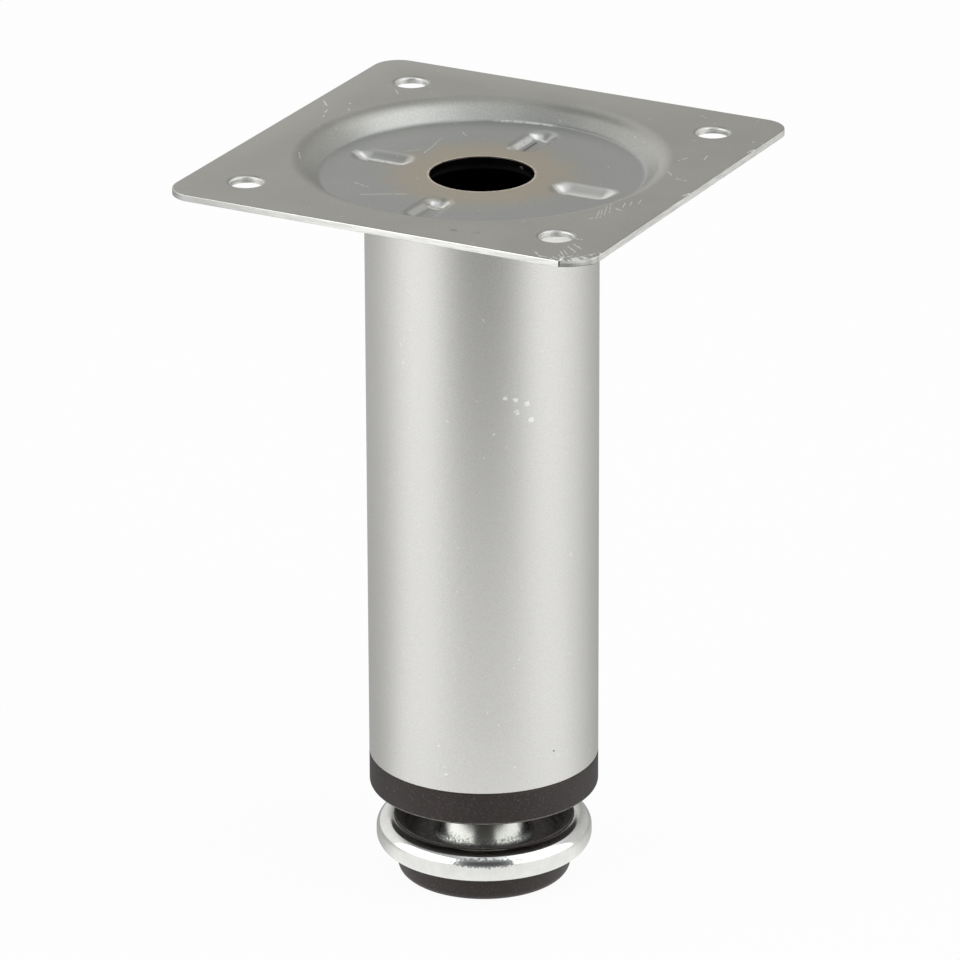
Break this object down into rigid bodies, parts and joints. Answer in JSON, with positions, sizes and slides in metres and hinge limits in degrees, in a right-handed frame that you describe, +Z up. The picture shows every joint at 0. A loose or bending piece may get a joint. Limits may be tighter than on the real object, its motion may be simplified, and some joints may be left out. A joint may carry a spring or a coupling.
{
  "type": "adjustable furniture leg",
  "caption": "Round steel furniture leg with a square dished mounting plate, a black end plug and a screw-adjustable foot: a bright pressed cup with a rolled bead, a black liner in it and a pad under it.",
  "frame": {"origin": "centre of the foot pad's bottom face, where the leg meets the floor", "axes": "+Z up the leg to the mounting plate, X and Y along the plate's edges"},
  "size_m": [0.099, 0.099, 0.165],
  "materials": {
    "plate_steel": "satin, scratched, with a heat tint round the centre hole",
    "tube_steel": "fine satin silver",
    "plug_plastic": "moulded, matt black",
    "insert_steel": "zinc plated",
    "stud_steel": "zinc plated thread",
    "bright_zinc": "bright zinc plate",
    "liner_plastic": "moulded, satin black",
    "pad_plastic": "moulded, satin black"
  },
  "bodies": {
    "leg": {"mounting_plate": "plate_steel", "tube": "tube_steel", "end_plug": "plug_plastic", "threaded_insert": "insert_steel"},
    "pad": {"foot_pad": "pad_plastic"},
    "screw_foot": {"threaded_stud": "stud_steel", "foot_cup": "bright_zinc", "foot_liner": "liner_plastic"}
  },
  "joints": [
    {"name": "height_adjustment", "type": "slide", "parent": "leg", "child": "pad", "axis": [0, 0, -1], "range_m": [-0.00735, 0.01]},
    {"name": "foot_turn", "type": "hinge", "parent": "pad", "child": "screw_foot", "pos_m": [0, 0, 0.0079], "axis": [0, 0, -1], "range_deg": [-1764, 2400]}
  ],
  "couplings": [
    {"joint": "height_adjustment", "follows": "foot_turn", "m_per_rad": 0.00023873}
  ]
}
